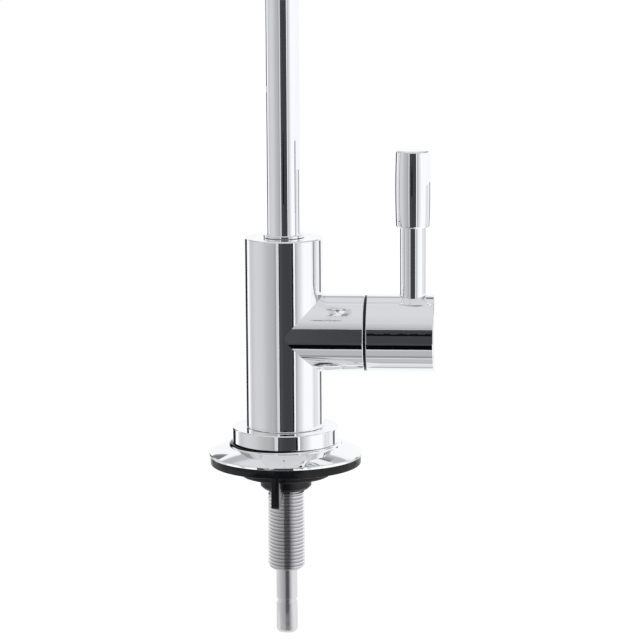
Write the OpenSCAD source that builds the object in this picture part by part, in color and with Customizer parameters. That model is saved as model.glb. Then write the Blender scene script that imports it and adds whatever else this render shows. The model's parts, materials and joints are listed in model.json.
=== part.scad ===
// Drinking water filter tap with a swivelling gooseneck and a quarter-turn lever on its side branch.
// The origin is on the worktop under the middle of the tap. +Z is up, the lever is on the +X side
// and the user stands on the -Y side, which the spout faces at rest. Sizes are in millimetres.

/* [Worktop seat] */
// Outer radius of the black seat that lies on the worktop
seat_r = 22.1; // [20:0.1:26]
// Height of the seat's outer edge
seat_edge_h = 2.6; // [1.5:0.1:3.5]
// Thickness of the seat under the body's foot
seat_floor = 2; // [1:0.1:3]
// Width of the locating tab
tab_w = 2.3; // [1.5:0.1:4]
// How far the tab hangs below the worktop face
tab_drop = 8.8; // [7.5:0.1:14]
// Depth of the tab at its lower end
tab_tip_depth = 2; // [1:0.1:4]
// How far the tab's gusset stays clear of the lock ring
gusset_clear = 2.4; // [0.5:0.1:4]
// Height of the gusset at its inner edge
gusset_h = 2; // [1:0.1:3]
// Angle of the tab from the front, towards the left
tab_angle = 2.7; // [0:0.1:60]

/* [Fixings under the seat] */
// Outer radius of the rubber locating washer
washer_r = 13.4; // [10:0.1:16]
// Thickness of the rubber locating washer
washer_t = 3.5; // [2:0.1:4.5]
// Outer radius of the lock ring
lock_r = 7.5; // [7:0.1:10]
// Height of the lock ring
lock_h = 4.1; // [3:0.1:8]
// Bevel on the lower edge of the lock ring
lock_bevel = 0.9; // [0.2:0.1:1.2]

/* [Flange and base ring] */
// How far the chrome flange stands out past the seat
flange_over = 0.4; // [0.1:0.05:1]
// Height of the flange's boss above the worktop
flange_h = 6.5; // [5:0.1:9]
// Radius of the flange's boss
boss_r = 16.5; // [15.8:0.1:18]
// Corner radius of the boss
boss_corner = 0.8; // [0.3:0.1:1.4]
// Thickness of the flange's metal
flange_t = 0.8; // [0.5:0.1:1.2]
// Outer radius of the base ring
ring_r = 15.6; // [13.5:0.1:16]
// Height of the base ring
ring_h = 4.6; // [3:0.1:8]
// Edge bevel of the base ring, the body and the cap
edge_bevel = 0.4; // [0.1:0.1:0.8]

/* [Body] */
// Outer radius of the body column, which its branch matches
body_r = 11.5; // [11:0.1:13]
// Height of the body column above the base ring
body_h = 55.7; // [50.2:0.1:70]
// Radius of the body's foot, inside the base ring
foot_r = 8; // [7.5:0.1:9]
// Height of the branch's axis above the base ring
branch_rise = 27.7; // [26:0.1:28.4]
// Distance from the body's axis to the branch's end face
branch_end = 23.5; // [22:0.1:30]
// Depth of the body's socket for the shank
shank_socket = 12; // [8:0.1:14]
// Radius of the inlet passage
inlet_r = 2.3; // [1.5:0.1:2.5]
// Radius of the outlet passage
outlet_r = 1.7; // [1:0.1:1.8]

/* [Shank and stem] */
// Crest radius of the shank's thread
thread_r = 5.556; // [5.3:0.001:6]
// Pitch of the shank's thread
thread_pitch = 1.0583; // [0.8:0.0001:1.5]
// Depth of the shank's thread
thread_depth = 0.6; // [0.3:0.05:0.8]
// Length of the shank below the lock ring
shank_len = 24.2; // [16:0.1:60]
// Bore radius of the shank
shank_bore = 2.6; // [1.5:0.1:2.9]
// Outer radius of the inlet stem
stem_r = 3.175; // [3:0.005:3.5]
// Bore radius of the inlet stem
stem_bore = 2; // [1.2:0.1:2.4]
// Length of the stem below the shank
stem_len = 19.4; // [14:0.1:40]
// Length of the stem inside the shank
stem_grip = 11; // [6:0.1:14]
// Distance from the shank to the stem's groove
stem_groove_at = 9; // [6:0.1:11]
// Width of the stem's groove
stem_groove_w = 1.3; // [0.6:0.1:2]
// Depth of the stem's groove
stem_groove_depth = 0.35; // [0.1:0.05:0.6]

/* [Spout] */
// Outer radius of the spout tube
tube_r = 4.85; // [4.4:0.05:4.9]
// Wall of the spout tube
tube_wall = 0.85; // [0.5:0.05:1.2]
// Distance from the body's axis to the outlet's axis
spout_reach = 125; // [90:1:180]
// Straight rise of the tube above the body
spout_rise = 133.6; // [110:0.1:240]
// Straight drop of the tube after the bend
spout_drop = 34; // [10:0.1:60]
// Outer radius of the outlet tip
tip_r = 6.1; // [5.7:0.1:8]
// Length of the outlet tip
tip_len = 18; // [16:0.1:30]
// Length of tube inside the outlet tip
tip_grip = 9; // [6:0.1:10]
// Radius of the outlet's mouth
mouth_r = 4.2; // [3.5:0.1:4.3]
// Length of the outlet's open mouth below its insert
mouth_len = 5; // [4.5:0.1:6]
// Outer radius of the thin ring at the tube's foot
foot_ring_r = 6; // [5.7:0.1:8]
// Thickness of the thin ring at the tube's foot
foot_ring_t = 0.8; // [0.4:0.1:2]

/* [Spout bearing] */
// Outer radius of the spout's bush
bush_r = 5.8; // [5.6:0.05:6]
// Metal between the valve's chamber and the spout's socket
valve_roof = 1.95; // [0.8:0.05:5]
// Depth of the tube in the bush
tube_in_bush = 7; // [5:0.1:7.5]
// Bore radius of the bush below the tube
bush_bore = 3.2; // [2.5:0.1:3.4]
// Thickness of the retaining clip
clip_t = 0.8; // [0.5:0.1:1]
// How far the retaining clip stands out of the bush
clip_proud = 0.4; // [0.2:0.05:0.6]

/* [Valve] */
// Outer radius of the cartridge where it screws into the branch
cart_r = 7.8; // [7.6:0.05:8]
// Outer radius of the cartridge where the water passes it
cart_waist_r = 6.9; // [6.8:0.05:7.2]
// Bore radius of the cartridge, around the discs
cart_bore = 5.9; // [5.8:0.05:6.1]
// Outer radius of the cartridge's neck
neck_r = 5.6; // [5:0.1:6]
// How far the neck stands out of the branch
neck_out = 4; // [2.5:0.1:4.2]
// Radius of the spindle in the neck
spindle_r = 3; // [2.95:0.05:3.1]
// Thickness of each ceramic disc
disc_t = 2.1; // [1.5:0.1:2.4]
// Thickness of the seal under the lower disc
seal_t = 3.4; // [2.5:0.1:4]
// Angle that the lever turns from shut to open
turn_angle = 90; // [60:1:100]

/* [Lever] */
// Outer radius of the handle cap
cap_r = 11.4; // [10:0.05:12]
// Length of the handle cap
cap_len = 19.6; // [19:0.1:26]
// Gap between the branch's end and the cap
cap_gap = 0.7; // [0.4:0.05:1.5]
// Distance from the cap's inner end to the lever's axis
lever_at = 13.1; // [13:0.1:13.6]
// Radius of the lever rod
rod_r = 3.8; // [3:0.05:4]
// Depth of the rod's seat in the cap
rod_seat = 1.2; // [0.4:0.1:2]
// Height of the rod's top above the branch's axis
rod_top = 31.1; // [24:0.1:60]
// Radius of the rod's studs
stud_r = 2.4; // [1.5:0.1:2.4]
// Length of the grip
grip_len = 22.2; // [16:0.1:50]
// Radius of the grip at its ends
grip_end_r = 5; // [4.3:0.05:6]
// How much the grip swells at its middle
grip_swell = 0.25; // [0:0.05:1.5]

/* [Fits] */
// Radial clearance of turning parts
run_gap = 0.05; // [0.03:0.01:0.08]
// Clearance of fixed parts
seat_gap = 0.05; // [0.02:0.01:0.1]
// Cord diameter of the O-rings
o_ring_d = 1.4; // [1.2:0.05:1.5]
// Smallest metal left between passages and outside faces
min_wall = 0.8; // [0.5:0.05:0.9]

/* [Hidden] */
$fn = 96;

// Heights and radii up the tap
flange_r = seat_r + flange_over;
ring_z = flange_h;
body_z = ring_z + ring_h;
body_top = body_z + body_h;
axis_z = body_z + branch_rise;
lock_z = -washer_t - lock_h;
shank_z = lock_z - shank_len;
stem_z = shank_z - stem_len;
arch_z = body_top + spout_rise;
arch_r = spout_reach / 2;
tube_end_z = arch_z - spout_drop;
tip_z = tube_end_z + tip_grip - tip_len;
insert_r = mouth_r + 0.2;

// Openings are cut past a face by this much
past = 1;

// Clearances that no fit depends on: round the shank, the foot and the washer, and between thin skins
shank_gap = 0.2;
foot_gap = 0.3;
washer_gap = 0.2;
skin_gap = 0.1;

// A bevel that leaves an edge sharp, and a small bevel or step
sharp = 0.01;
small = 0.2;

// The branch is a shade slimmer than the column, so the two meet in a clean seam
branch_r = body_r - skin_gap / 2;

// The shank above its thread, and the part of the stem inside the shank
plain_r = thread_r - 0.3;
tail_r = stem_r - 0.2;
chamfer_h = 1.2;
thread_start = 0.4;
thread_top = lock_z - thread_start;
thread_end = shank_z + chamfer_h;

// The spout's bearing in the top of the body, down to the roof of the valve's chamber
chamber_r = cart_r + seat_gap;
socket_r = bush_r + run_gap;
socket_z = axis_z + chamber_r + valve_roof;
bush_z = socket_z + 0.2;
bush_len = body_top - bush_z;
tube_foot_z = body_top - tube_in_bush;
ring_centre = bush_r + run_gap / 2 - o_ring_d / 2;
o_groove_r = ring_centre - o_ring_d / 2 - seat_gap / 2;
o_groove_w = o_ring_d + 0.3;
clip_z = bush_z + 1;
clip_groove_depth = 0.9;
clip_gap = 0.25;

// The bush's two rings are spread evenly between its clip and the foot of the tube
rings_z = clip_z + clip_t + skin_gap;
ring_land = (tube_foot_z - rings_z - 2 * o_groove_w) / 3;
o_rings_z = [for (i = [0, 1]) rings_z + ring_land * (i + 1) + o_groove_w * (i + 0.5)];

// The valve in the branch
floor_x = inlet_r + min_wall;
seal_x = floor_x;
fixed_x = seal_x + seal_t;
moving_x = fixed_x + disc_t + run_gap;
fork_gap = 2;
plate_x = moving_x + disc_t + fork_gap;
plate_t = 1.4;
shoulder_x = plate_x + plate_t + run_gap;
groove_x = shoulder_x;
waist_end = groove_x - 1;
neck_x = branch_end - 0.4;
neck_end = branch_end + neck_out;
disc_r = cart_bore - 0.1;
port_half = 38;
port_in = 1;
port_out = disc_r - 2;
window_r = 0.9;
tang_w = 2.4;
tang_depth = 1.2;
stop_angle = 135;
stop_half = 14;
stop_play = 1;
stop_r = disc_r - 1.6;
spindle_ring_r = spindle_r + run_gap / 2 - o_ring_d / 2;
first_ring = 2.4;
ring_step = 3;
spindle_rings_x = [for (i = [0, 1]) shoulder_x + first_ring + ring_step * i];

// The cap and what it holds
cap_x = branch_end + cap_gap;
lever_x = cap_x + lever_at;
cup_r = neck_r + 1.4;
clip_x = neck_end + run_gap;
clip_w = 0.7;
clip_bite = 0.5;
clip_out = 1.5;
cup_x = clip_x + clip_w + 0.3;
spline_bush_x = cup_x;
spline_bush_end = lever_x - stud_r - 0.5;
spline_bush_r = 5;
spline_teeth = 18;
spline_depth = 0.3;
spline_r = spindle_r - 0.1;
pilot_r = spline_r - spline_depth - 0.04;
spindle_end = lever_x + stud_r + 0.6;
rod_seat_z = axis_z + sqrt(pow(cap_r, 2) - pow(rod_r, 2)) - rod_seat;
rod_top_z = axis_z + rod_top;
grip_stud = 13.3;

// Places a shape drawn up the Z axis along the branch's axis, with its own +X towards +Y
module along_branch(x = 0) {
    translate([x, 0, axis_z]) rotate([90, 0, 90]) children();
}

// A round ring between two radii, with its lower face at the origin
module collar_ring(outer, inner, h) {
    difference() {
        cylinder(r = outer, h = h);
        translate([0, 0, -past]) cylinder(r = inner, h = h + 2 * past);
    }
}

// A disc with both edges bevelled
module bevelled(r, h, low, high) {
    rotate_extrude() polygon([[0, 0], [r - low, 0], [r, low], [r, h - high], [r - high, h], [0, h]]);
}

// One O-ring, centred on the origin
module o_ring(centre_r) {
    rotate_extrude() translate([centre_r, 0]) circle(d = o_ring_d);
}

// Points of a ring sector from angle a to angle b
function sector(inner, outer, a, b, steps = 12) = concat(
    [for (i = [0:steps]) let (t = a + (b - a) * i / steps) [outer * cos(t), outer * sin(t)]],
    [for (i = [steps:-1:0]) let (t = a + (b - a) * i / steps) [inner * cos(t), inner * sin(t)]]
);

// A toothed outline, for the spindle's splines and the hole that takes them
function spline_points(outer, inner) = [
    for (i = [0:4 * spline_teeth - 1])
        let (t = 360 * i / (4 * spline_teeth), r = i % 4 < 2 ? outer : inner) [r * cos(t), r * sin(t)]
];

// The flange's upper face from the boss to the rim: t runs from 0 to 1
rim_top = seat_edge_h + flange_t;
boss_foot_z = flange_h - boss_corner;
function dome(t) = [
    boss_r + (flange_r - boss_r) * t,
    boss_foot_z + (rim_top - boss_foot_z) * (0.75 * t + 0.25 * t * t)
];
dome_steps = 10;
boss_arc = [
    for (a = [90:-15:0]) [boss_r - boss_corner * (1 - cos(a)), boss_foot_z + boss_corner * sin(a)]
];

// Black plastic seat with its locating tab
module flange_seat() {
    top = flange_h - flange_t;
    hole_r = thread_r + shank_gap;
    recess_r = foot_r + foot_gap;
    plateau_r = boss_r - flange_t - foot_gap;
    ledge_r = seat_r - 0.6;
    spacing = 0.2;
    under = [
        for (i = [dome_steps:-1:1]) dome(i / dome_steps) - [flange_t + skin_gap, flange_t + 1.5 * skin_gap]
    ];
    slope = [for (p = under) if (p[0] > plateau_r + spacing && p[0] < ledge_r - spacing) p];
    color("#1c1b1e") {
        rotate_extrude() polygon(concat(
            [[hole_r, 0], [seat_r, 0], [seat_r, seat_edge_h], [ledge_r, seat_edge_h]],
            slope, [[plateau_r, top], [recess_r, top], [recess_r, seat_floor], [hole_r, seat_floor]]
        ));
        // The tab hangs from the rim, and its gusset reaches in under the washer
        tab_out = seat_r - skin_gap;
        tab_in = washer_r + washer_gap;
        tab_corner = 0.4;
        gusset_in = lock_r + gusset_clear;
        gusset_top = -washer_t - skin_gap;
        rotate([0, 0, -90 - tab_angle]) translate([0, tab_w / 2, 0]) rotate([90, 0, 0])
            linear_extrude(tab_w) polygon([
                [tab_in, seat_edge_h / 2], [tab_out, seat_edge_h / 2],
                [tab_out, tab_corner - tab_drop], [tab_out - tab_corner, -tab_drop],
                [tab_out - tab_tip_depth, -tab_drop],
                [gusset_in, gusset_top - gusset_h], [gusset_in, gusset_top], [tab_in, gusset_top]
            ]);
    }
}

// Rubber washer that centres the tap in the worktop's hole
module locating_washer() {
    washer_bevel = 0.5;
    color("#232326") translate([0, 0, -washer_t]) difference() {
        bevelled(washer_r, washer_t, washer_bevel, sharp);
        translate([0, 0, -past]) cylinder(r = thread_r + shank_gap, h = washer_t + 2 * past);
    }
}

// Round ring that holds the washer and seat on the shank
module lock_ring() {
    color("#6b6a70") translate([0, 0, lock_z]) difference() {
        bevelled(lock_r, lock_h, lock_bevel, small);
        translate([0, 0, -past]) cylinder(r = plain_r + seat_gap, h = lock_h + 2 * past);
    }
}

// Chrome cover over the seat
module flange_plate() {
    bore = foot_r + seat_gap;
    upper = [for (i = [1:dome_steps]) dome(i / dome_steps)];
    lower = [for (i = [dome_steps:-1:0]) dome(i / dome_steps) - [flange_t, flange_t]];
    inner_r = boss_r - flange_t;
    rim_r = flange_r - flange_t;
    inside = [for (p = lower) if (p[0] < rim_r - skin_gap && p[0] > inner_r + skin_gap) p];
    color("#d9dbde") rotate_extrude() polygon(concat(
        [[bore, flange_h]], boss_arc, upper,
        [[flange_r, seat_edge_h], [rim_r, seat_edge_h]], inside,
        [[inner_r, flange_h - flange_t], [bore, flange_h - flange_t]]
    ));
}

// Chrome ring at the foot of the body
module base_ring() {
    color("#dcdee1") translate([0, 0, ring_z]) difference() {
        bevelled(ring_r, ring_h, edge_bevel, edge_bevel);
        translate([0, 0, -past]) cylinder(r = foot_r + seat_gap, h = ring_h + 2 * past);
    }
}

// Chrome column with its side branch, bored for the valve, the spout and the shank
module body_shell() {
    color("#dfe1e4") difference() {
        union() {
            translate([0, 0, body_z]) bevelled(body_r, body_h, edge_bevel, edge_bevel);
            translate([0, 0, seat_floor]) cylinder(r = foot_r, h = body_z - seat_floor + past);
            along_branch() bevelled(branch_r, branch_end, edge_bevel, small);
        }
        // Socket for the shank and the passage up to the valve
        translate([0, 0, seat_floor - past]) cylinder(r = plain_r + seat_gap, h = shank_socket + past);
        cylinder(r = inlet_r, h = axis_z);
        along_branch() cylinder(r = inlet_r, h = floor_x + past);
        // Chamber for the cartridge
        along_branch(floor_x) cylinder(r = chamber_r, h = branch_end);
        // Passage from the chamber up to the spout
        passage_z = axis_z + inlet_r + min_wall;
        translate([socket_r - outlet_r - skin_gap, 0, passage_z])
            cylinder(r = outlet_r, h = socket_z + past - passage_z);
        // Socket for the spout's bush, with the groove that its clip runs in
        translate([0, 0, socket_z]) cylinder(r = socket_r, h = body_top);
        translate([0, 0, clip_z - clip_gap])
            cylinder(r = bush_r + clip_proud + clip_gap, h = clip_t + 2 * clip_gap);
    }
}

// Threaded shank that goes through the worktop
module shank() {
    top = seat_floor + shank_socket - seat_gap;
    turns = floor((thread_top - thread_end) / thread_pitch - 0.4);
    root = thread_r - thread_depth;
    crest_w = 0.16 * thread_pitch;
    flank_w = 0.34 * thread_pitch;
    ridges = [for (i = [0:turns - 1]) let (z = thread_top - i * thread_pitch) each [
        [thread_r, z], [thread_r, z - crest_w],
        [root, z - crest_w - flank_w], [root, z - 2 * crest_w - flank_w]
    ]];
    lead = 0.3;
    color("#a9a8ab") difference() {
        rotate_extrude() polygon(concat(
            [[0, top], [plain_r - lead, top], [plain_r, top - lead], [plain_r, thread_top]], ridges,
            [[thread_r, thread_top - turns * thread_pitch], [thread_r, thread_end]],
            [[thread_r - chamfer_h, shank_z], [0, shank_z]]
        ));
        translate([0, 0, shank_z - past]) cylinder(r = shank_bore, h = top - shank_z + 2 * past);
        translate([0, 0, shank_z - past]) cylinder(r = tail_r + seat_gap / 2, h = stem_grip + past);
    }
}

// Smooth stem that pushes into the water supply's fitting
module inlet_stem() {
    groove_top = shank_z - stem_groove_at;
    groove_r = stem_r - stem_groove_depth;
    top = shank_z + stem_grip - o_ring_d - seat_gap;
    nose_h = 0.9;
    nose_w = 0.54;
    color("#b2b1b4") rotate_extrude() polygon([
        [stem_bore, stem_z], [stem_r - nose_w, stem_z], [stem_r, stem_z + nose_h],
        [stem_r, groove_top - stem_groove_w], [groove_r, groove_top - stem_groove_w],
        [groove_r, groove_top], [stem_r, groove_top],
        [stem_r, shank_z], [tail_r, shank_z], [tail_r, top], [stem_bore, top]
    ]);
}

// Seal between the stem's inner end and the shank
module inlet_seal() {
    color("#2a2a2c") translate([0, 0, shank_z + stem_grip - o_ring_d])
        collar_ring(tail_r, stem_bore, o_ring_d - seat_gap / 2);
}

// Brass housing of the valve
module cartridge_body() {
    start = seal_x + 1.4;
    window_x = moving_x + disc_t + window_r;
    stop_from = stop_angle - stop_half;
    stop_to = stop_angle + stop_half;
    color("#c9a35c") difference() {
        union() {
            along_branch(start) cylinder(r = cart_waist_r, h = waist_end - start);
            along_branch(waist_end) cylinder(r = cart_r, h = neck_x - waist_end);
            along_branch(neck_x - past) cylinder(r = neck_r, h = neck_end - neck_x + past);
        }
        difference() {
            along_branch(start - past) cylinder(r = cart_bore, h = shoulder_x - start + past);
            along_branch(plate_x - small) linear_extrude(shoulder_x - plate_x + past)
                polygon(sector(stop_r + skin_gap, cart_bore + past, stop_from, stop_to));
        }
        along_branch(start) cylinder(r = spindle_r + run_gap, h = neck_end);
        along_branch(groove_x) difference() {
            cylinder(r = cart_r + past, h = o_groove_w);
            translate([0, 0, -past])
                cylinder(r = chamber_r - o_ring_d - seat_gap, h = o_groove_w + 2 * past);
        }
        for (a = [0, 90, 180, 270])
            along_branch(window_x) rotate([0, 0, a]) rotate([0, 90, 0])
                translate([0, 0, cart_bore / 2]) cylinder(r = window_r, h = cart_bore);
    }
}

// Rubber seal between the branch's floor and the fixed disc
module cartridge_seal() {
    seal_r = cart_bore - 0.3;
    color("#26262a") along_branch(seal_x) collar_ring(seal_r, inlet_r + min_wall, seal_t);
}

// O-ring round the cartridge
module cartridge_o_ring() {
    color("#26262a") along_branch(groove_x + o_groove_w / 2)
        o_ring(chamber_r - seat_gap / 2 - o_ring_d / 2);
}

// A ceramic disc with two ports
module ported_disc(port_angle) {
    difference() {
        cylinder(r = disc_r, h = disc_t);
        for (a = [port_angle, port_angle + 180]) translate([0, 0, -past])
            linear_extrude(disc_t + 2 * past)
                polygon(sector(port_in, port_out, a - port_half, a + port_half));
    }
}

// Ceramic disc on the rubber seal
module fixed_disc() {
    color("#efece4") along_branch(fixed_x) ported_disc(0);
}

// Ceramic disc that the spindle turns over the ports
module moving_disc() {
    color("#f4f2ec") along_branch(moving_x) difference() {
        ported_disc(90);
        for (a = [0, 180]) rotate([0, 0, a])
            translate([disc_r - tang_depth, -tang_w / 2 - skin_gap, -past])
                cube([tang_depth + past, tang_w + 2 * skin_gap, disc_t + 2 * past]);
    }
}

// Spindle with the fork that holds the moving disc, splines for the cap and a round pilot end
module spindle() {
    fork_foot = moving_x + 0.5;
    fork_h = plate_x - fork_foot + skin_gap;
    fork_in = disc_r - tang_depth + 0.3;
    spline_x = clip_x + clip_w + small;
    pilot_x = spline_bush_end - past;
    notch_from = stop_angle - stop_half - stop_play - turn_angle;
    notch_to = stop_angle + stop_half + stop_play;
    color("#c6a564") difference() {
        union() {
            along_branch(plate_x) cylinder(r = disc_r, h = plate_t);
            along_branch(plate_x) cylinder(r = spindle_r, h = spline_x - plate_x);
            along_branch(spline_x) linear_extrude(spline_bush_end - spline_x)
                polygon(spline_points(spline_r, spline_r - spline_depth));
            along_branch(pilot_x) cylinder(r = pilot_r, h = spindle_end - pilot_x);
            along_branch(fork_foot) intersection() {
                collar_ring(disc_r, fork_in, fork_h);
                translate([-disc_r, -tang_w / 2, 0]) cube([2 * disc_r, tang_w, fork_h]);
            }
        }
        // Notch in the plate for the cartridge's stop, as wide as the lever's turn
        along_branch(plate_x - past) linear_extrude(plate_t + 2 * past)
            polygon(sector(stop_r, disc_r + past, notch_from, notch_to, 24));
        for (x = spindle_rings_x) along_branch(x - o_groove_w / 2)
            collar_ring(spindle_r + past, spindle_ring_r - o_ring_d / 2 - seat_gap / 2, o_groove_w);
        along_branch(clip_x) collar_ring(spindle_r + past, spindle_r - clip_bite, clip_w + skin_gap);
    }
}

// Two O-rings on the spindle, inside the neck
module spindle_o_rings() {
    color("#26262a") for (x = spindle_rings_x) along_branch(x) o_ring(spindle_ring_r);
}

// Split steel clip that keeps the spindle in its neck
module spindle_clip() {
    split_w = 2.4;
    color("#8f9094") along_branch(clip_x + seat_gap) difference() {
        collar_ring(spindle_r + clip_out, spindle_r - clip_bite + seat_gap, clip_w - seat_gap);
        translate([0, -split_w / 2, -past]) cube([neck_r, split_w, clip_w + 2 * past]);
    }
}

// Black ring that the cap turns against
module slip_ring() {
    slip_r = cap_r - 0.4;
    color("#1b1b1d") along_branch(branch_end)
        collar_ring(slip_r, neck_r + shank_gap, cap_gap - skin_gap);
}

// Splined insert that carries the cap on the spindle
module spline_bush() {
    length = spline_bush_end - spline_bush_x - skin_gap;
    color("#2b2b2e") along_branch(spline_bush_x) difference() {
        cylinder(r = spline_bush_r, h = length);
        translate([0, 0, -past]) linear_extrude(length + 2 * past)
            polygon(spline_points(spline_r + seat_gap, spline_r - spline_depth + seat_gap));
    }
}

// Chrome cap at the end of the branch, turned by the lever
module handle_cap() {
    color("#dee0e3") difference() {
        along_branch(cap_x) bevelled(cap_r, cap_len, small, edge_bevel + skin_gap);
        along_branch(cap_x - past) cylinder(r = cup_r, h = cup_x - cap_x + past);
        along_branch(cup_x - past)
            cylinder(r = spline_bush_r + seat_gap, h = spline_bush_end - cup_x + past);
        along_branch(cup_x) cylinder(r = pilot_r + seat_gap, h = spindle_end - cup_x + small);
        translate([lever_x, 0, rod_seat_z]) cylinder(r = rod_r + seat_gap, h = cap_r);
        translate([lever_x, 0, axis_z]) cylinder(r = stud_r + seat_gap, h = cap_r);
    }
}

// Rod with a stud that locks the cap on the spindle, and a stud for the grip
module lever_rod() {
    stud_foot = axis_z + pilot_r + seat_gap;
    color("#dadce0") translate([lever_x, 0, 0]) {
        translate([0, 0, stud_foot]) cylinder(r = stud_r, h = rod_seat_z - stud_foot + past);
        translate([0, 0, rod_seat_z]) cylinder(r = rod_r, h = rod_top_z - rod_seat_z);
        translate([0, 0, rod_top_z - past]) cylinder(r = stud_r, h = grip_stud + past);
    }
}

// Slightly barrelled grip
module lever_grip() {
    round = 0.6;
    steps = 16;
    stud_room = 0.5;
    side = [for (i = [0:steps])
        let (t = i / steps) [
            grip_end_r + grip_swell * (1 - pow(2 * t - 1, 2)), round + (grip_len - 2 * round) * t
        ]
    ];
    color("#e0e2e5") translate([lever_x, 0, rod_top_z]) difference() {
        rotate_extrude() polygon(concat(
            [[0, 0], [grip_end_r - round, 0]], side, [[grip_end_r - round, grip_len], [0, grip_len]]
        ));
        translate([0, 0, -past]) cylinder(r = stud_r + seat_gap, h = grip_stud + past + stud_room);
    }
}

// Brass bush that the spout turns in, grooved for its rings and its clip
module spout_bush() {
    color("#caa866") difference() {
        translate([0, 0, bush_z]) cylinder(r = bush_r, h = bush_len);
        translate([0, 0, bush_z - past]) cylinder(r = bush_bore, h = bush_len);
        translate([0, 0, tube_foot_z]) cylinder(r = tube_r + seat_gap, h = bush_len);
        for (z = o_rings_z) translate([0, 0, z - o_groove_w / 2])
            collar_ring(bush_r + past, o_groove_r, o_groove_w);
        translate([0, 0, clip_z - skin_gap])
            collar_ring(bush_r + past, bush_r - clip_groove_depth, clip_t + 2 * skin_gap);
    }
}

// Two O-rings on the bush
module spout_o_rings() {
    color("#26262a") for (z = o_rings_z) translate([0, 0, z]) o_ring(ring_centre);
}

// Split clip that keeps the spout in the body
module spout_clip() {
    split_w = 3;
    color("#d6d2c4") translate([0, 0, clip_z]) difference() {
        collar_ring(bush_r + clip_proud, bush_r - clip_groove_depth + seat_gap, clip_t);
        translate([0, -split_w / 2, -past]) cube([body_r, split_w, clip_t + 2 * past]);
    }
}

// Thin chrome ring round the tube's foot, over the mouth of the socket
module spout_ring() {
    color("#e2e4e7") translate([0, 0, body_top + skin_gap]) difference() {
        bevelled(foot_ring_r, foot_ring_t, sharp, small);
        translate([0, 0, -past]) cylinder(r = tube_r + seat_gap, h = foot_ring_t + 2 * past);
    }
}

// Gooseneck tube
module spout_tube() {
    inner = tube_r - tube_wall;
    color("#e1e3e6") {
        translate([0, 0, tube_foot_z]) collar_ring(tube_r, inner, arch_z - tube_foot_z);
        translate([0, -arch_r, arch_z]) rotate([90, 0, 90]) rotate_extrude(angle = 180)
            translate([arch_r, 0]) difference() {
                circle(r = tube_r);
                circle(r = inner);
            }
        translate([0, -spout_reach, tube_end_z]) collar_ring(tube_r, inner, spout_drop);
    }
}

// Chrome tip on the end of the tube
module outlet_tip() {
    tip_shoulder = 0.8;
    color("#dcdee2") translate([0, -spout_reach, tip_z]) difference() {
        bevelled(tip_r, tip_len, edge_bevel, tip_shoulder);
        translate([0, 0, -past]) cylinder(r = mouth_r, h = tip_len + 2 * past);
        translate([0, 0, mouth_len]) cylinder(r = insert_r + seat_gap, h = tip_len);
        translate([0, 0, tip_len - tip_grip]) cylinder(r = tube_r + seat_gap, h = tip_grip + past);
    }
}

// Plastic flow straightener inside the tip
module outlet_insert() {
    h = tip_len - tip_grip - mouth_len - seat_gap;
    hole_r = 0.68;
    holes_r = 2.4;
    color("#f2f2ee") translate([0, -spout_reach, tip_z + mouth_len]) difference() {
        cylinder(r = insert_r, h = h);
        translate([0, 0, -past]) cylinder(r = hole_r, h = h + 2 * past);
        for (a = [0:60:300]) rotate([0, 0, a]) translate([holes_r, 0, -past])
            cylinder(r = hole_r, h = h + 2 * past);
    }
}

flange_seat();
locating_washer();
lock_ring();
flange_plate();
base_ring();
body_shell();
shank();
inlet_stem();
inlet_seal();
cartridge_body();
cartridge_seal();
cartridge_o_ring();
fixed_disc();
slip_ring();
moving_disc();
spindle();
spindle_o_rings();
spindle_clip();
spline_bush();
handle_cap();
lever_rod();
lever_grip();
spout_bush();
spout_o_rings();
spout_clip();
spout_ring();
spout_tube();
outlet_tip();
outlet_insert();
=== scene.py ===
import json
import math

import bmesh
import bpy
import numpy as np
from mathutils import Matrix, Vector


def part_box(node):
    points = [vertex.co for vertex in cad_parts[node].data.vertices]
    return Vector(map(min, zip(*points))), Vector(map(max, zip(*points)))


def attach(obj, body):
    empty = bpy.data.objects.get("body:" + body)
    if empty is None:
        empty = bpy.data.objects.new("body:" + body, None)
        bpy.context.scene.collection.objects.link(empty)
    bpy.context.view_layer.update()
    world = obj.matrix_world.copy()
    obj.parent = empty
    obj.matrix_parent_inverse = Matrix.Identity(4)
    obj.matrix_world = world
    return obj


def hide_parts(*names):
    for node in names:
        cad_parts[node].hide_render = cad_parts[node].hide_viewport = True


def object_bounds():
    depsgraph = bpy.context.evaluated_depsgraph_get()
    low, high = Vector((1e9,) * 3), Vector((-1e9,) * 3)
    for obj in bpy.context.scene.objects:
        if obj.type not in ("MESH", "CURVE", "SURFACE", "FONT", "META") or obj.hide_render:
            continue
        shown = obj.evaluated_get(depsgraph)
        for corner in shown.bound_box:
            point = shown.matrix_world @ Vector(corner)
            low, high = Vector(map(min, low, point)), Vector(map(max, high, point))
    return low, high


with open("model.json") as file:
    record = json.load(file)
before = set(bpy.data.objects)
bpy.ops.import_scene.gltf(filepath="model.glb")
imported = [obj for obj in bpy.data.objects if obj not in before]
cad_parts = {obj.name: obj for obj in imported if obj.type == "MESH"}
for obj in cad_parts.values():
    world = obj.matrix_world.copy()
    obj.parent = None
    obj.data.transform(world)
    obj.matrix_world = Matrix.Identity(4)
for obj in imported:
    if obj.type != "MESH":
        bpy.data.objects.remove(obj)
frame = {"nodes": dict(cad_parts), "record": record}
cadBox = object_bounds()
scene = bpy.context.scene
mm = 0.001

# The camera, fitted to the edges of the tap in the photograph. Angles are in degrees
camera = {
    "place": (0.070787, -0.713747, 0.164986),
    "azimuth": 4.843,
    "pitch": 9.704,
    "roll": -0.344,
    "focalPixels": 2500.0,
    "imageSide": 640.0,
    "sensor": 36.0,
    "nearest": 0.05,
    "farthest": 60.0,
}


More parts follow.
